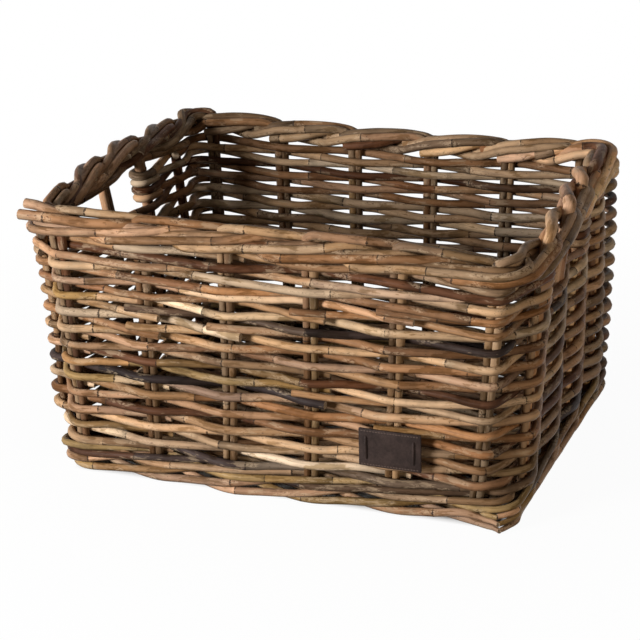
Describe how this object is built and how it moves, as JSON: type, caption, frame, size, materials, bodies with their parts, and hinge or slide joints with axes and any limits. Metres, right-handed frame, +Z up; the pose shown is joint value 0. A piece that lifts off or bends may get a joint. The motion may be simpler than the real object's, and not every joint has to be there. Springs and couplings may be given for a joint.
{
  "type": "bicycle basket",
  "caption": "Rectangular woven rattan bicycle basket with a rolled border, a handle hole in each end wall and a small leather label on the front.",
  "frame": {"origin": "middle of the basket's outline on the surface it stands on", "axes": "+X along the long wall to the right seen from the front, +Y from the front wall to the back wall, +Z up to the rim"},
  "size_m": [0.4614, 0.366, 0.2576],
  "materials": {
    "rattan_weaver": "dry matt rattan, rods from honey to dark brown with darker node rings",
    "rattan_stake": "dry matt rattan",
    "leather": "matt dark brown leather",
    "thread": "brown sewing thread"
  },
  "bodies": {
    "root": {"row_01": "rattan_weaver", "row_02": "rattan_weaver", "row_03": "rattan_weaver", "row_04": "rattan_weaver", "row_05": "rattan_weaver", "row_06": "rattan_weaver", "row_07": "rattan_weaver", "row_08": "rattan_weaver", "row_09": "rattan_weaver", "row_10": "rattan_weaver", "row_11": "rattan_weaver", "row_12": "rattan_weaver", "row_13": "rattan_weaver", "row_14": "rattan_weaver", "row_15": "rattan_weaver", "row_16": "rattan_weaver", "row_17": "rattan_weaver", "row_18": "rattan_weaver", "row_19": "rattan_weaver", "row_20": "rattan_weaver", "row_21": "rattan_weaver", "row_under_border": "rattan_weaver", "hole_rows_front": "rattan_weaver", "hole_rows_back": "rattan_weaver", "foot_rod_1": "rattan_weaver", "foot_rod_2": "rattan_weaver", "foot_rod_3": "rattan_weaver", "floor_rod_1": "rattan_weaver", "floor_rod_2": "rattan_weaver", "floor_rod_3": "rattan_weaver", "floor_rod_4": "rattan_weaver", "floor_rod_5": "rattan_weaver", "long_wall_stake_1a": "rattan_stake", "long_wall_stake_1b": "rattan_stake", "long_wall_stake_2a": "rattan_stake", "long_wall_stake_2b": "rattan_stake", "long_wall_stake_3a": "rattan_stake", "long_wall_stake_3b": "rattan_stake", "long_wall_stake_4a": "rattan_stake", "long_wall_stake_4b": "rattan_stake", "long_wall_stake_5a": "rattan_stake", "long_wall_stake_5b": "rattan_stake", "long_wall_stake_6a": "rattan_stake", "long_wall_stake_6b": "rattan_stake", "end_wall_stake_1a": "rattan_stake", "end_wall_stake_1b": "rattan_stake", "end_wall_stake_2a": "rattan_stake", "end_wall_stake_2b": "rattan_stake", "end_wall_stake_3a": "rattan_stake", "end_wall_stake_3b": "rattan_stake", "end_wall_stake_4a": "rattan_stake", "end_wall_stake_4b": "rattan_stake", "label": "leather", "stitch_left": "thread", "stitch_right": "thread"}
  },
  "joints": []
}
